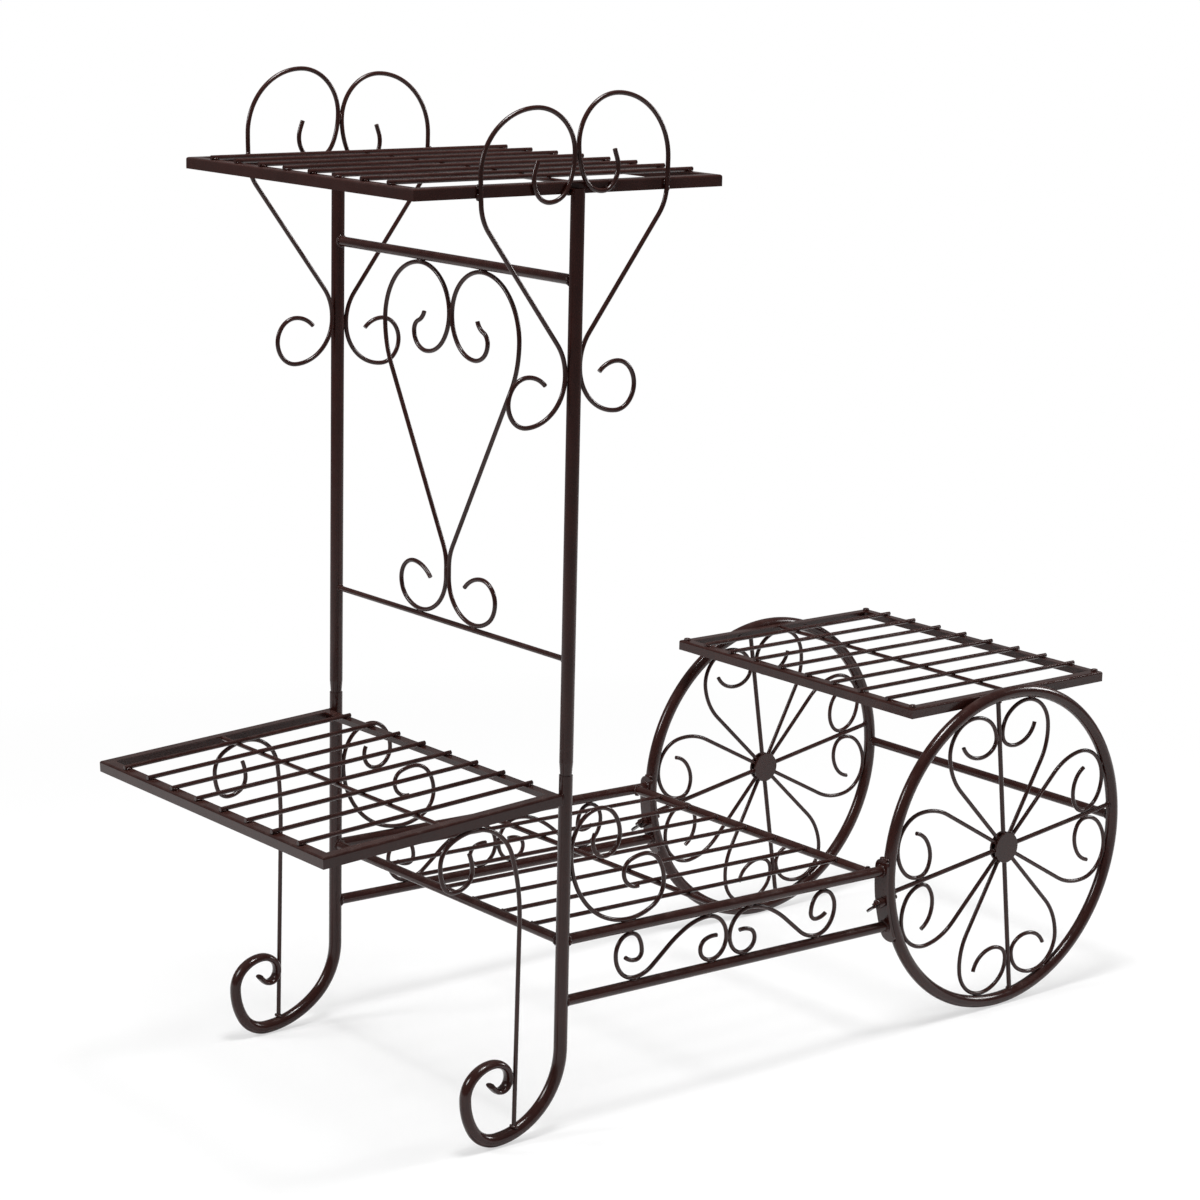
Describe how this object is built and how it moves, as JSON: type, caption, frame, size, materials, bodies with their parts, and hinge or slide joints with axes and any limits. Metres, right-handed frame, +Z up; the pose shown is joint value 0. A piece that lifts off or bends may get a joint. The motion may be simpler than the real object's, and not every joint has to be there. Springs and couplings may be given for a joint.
{
  "type": "flower cart plant stand",
  "caption": "Dark brown wrought-style metal flower cart plant stand with scrolled hearts, slatted shelves and spoked wheels.",
  "frame": {"origin": "middle of the footprint at floor level", "axes": "+Z up, +X from the scroll feet towards the wheels, +Y towards the side that is farther away in the picture"},
  "size_m": [0.9599, 0.3652, 0.9015],
  "materials": {
    "tube_finish": "satin-gloss dark brown powder coat on steel tube",
    "plate_finish": "satin-gloss dark brown powder coat on angle and flat steel",
    "wire_finish": "satin-gloss dark brown powder coat on steel wire",
    "fastener_finish": "dark brown coated steel fasteners"
  },
  "bodies": {
    "cart": {"bed_cross_rod": "wire_finish", "bed_front_tube": "tube_finish", "bed_lower_rail_far": "tube_finish", "bed_lower_rail_near": "tube_finish", "bed_rear_tube": "tube_finish", "bed_slats": "wire_finish", "bed_upper_rail_far": "tube_finish", "bed_upper_rail_near": "tube_finish", "corner_scroll_far": "wire_finish", "corner_scroll_near": "wire_finish", "front_brace_far": "wire_finish", "front_brace_near": "wire_finish", "front_shelf_cross_rod": "wire_finish", "front_shelf_frame": "plate_finish", "front_shelf_slats": "wire_finish", "leg_far": "tube_finish", "leg_near": "tube_finish", "rear_cross_tube": "tube_finish", "rear_shelf_bolts": "fastener_finish", "rear_shelf_cross_rod": "wire_finish", "rear_shelf_frame": "plate_finish", "rear_shelf_nuts": "fastener_finish", "rear_shelf_slats": "wire_finish", "rim_strip_far": "plate_finish", "rim_strip_near": "plate_finish", "s_scroll_far_front": "wire_finish", "s_scroll_far_rear": "wire_finish", "s_scroll_near_front": "wire_finish", "s_scroll_near_rear": "wire_finish", "wheel_hearts_far": "wire_finish", "wheel_hearts_near": "wire_finish", "wheel_hub_discs_far": "plate_finish", "wheel_hub_discs_near": "plate_finish", "wheel_rim_far": "tube_finish", "wheel_rim_near": "tube_finish", "wheel_spokes_far": "wire_finish", "wheel_spokes_near": "wire_finish"},
    "upper_rack": {"centre_heart_left": "wire_finish", "centre_heart_right": "wire_finish", "lower_rod": "wire_finish", "post_far": "tube_finish", "post_near": "tube_finish", "side_heart_far_front": "wire_finish", "side_heart_far_rear": "wire_finish", "side_heart_near_front": "wire_finish", "side_heart_near_rear": "wire_finish", "top_shelf_cross_rod": "wire_finish", "top_shelf_frame": "plate_finish", "top_shelf_slats": "wire_finish", "upper_crossbar": "tube_finish"},
    "wing_bolt_near": {"wing_bolt_near": "fastener_finish"},
    "wing_bolt_far": {"wing_bolt_far": "fastener_finish"}
  },
  "joints": [
    {"name": "upper_rack_lift", "type": "slide", "parent": "cart", "child": "upper_rack", "axis": [0, 0, 1], "range_m": [0, 0.045]},
    {"name": "wing_bolt_near_turn", "type": "hinge", "parent": "cart", "child": "wing_bolt_near", "pos_m": [0.15464, -0.17495, 0.13533], "axis": [-0.9877, 0, -0.1564], "continuous": true},
    {"name": "wing_bolt_far_turn", "type": "hinge", "parent": "cart", "child": "wing_bolt_far", "pos_m": [0.15593, 0.17495, 0.12821], "axis": [-0.9799, 0, -0.1994], "continuous": true}
  ]
}
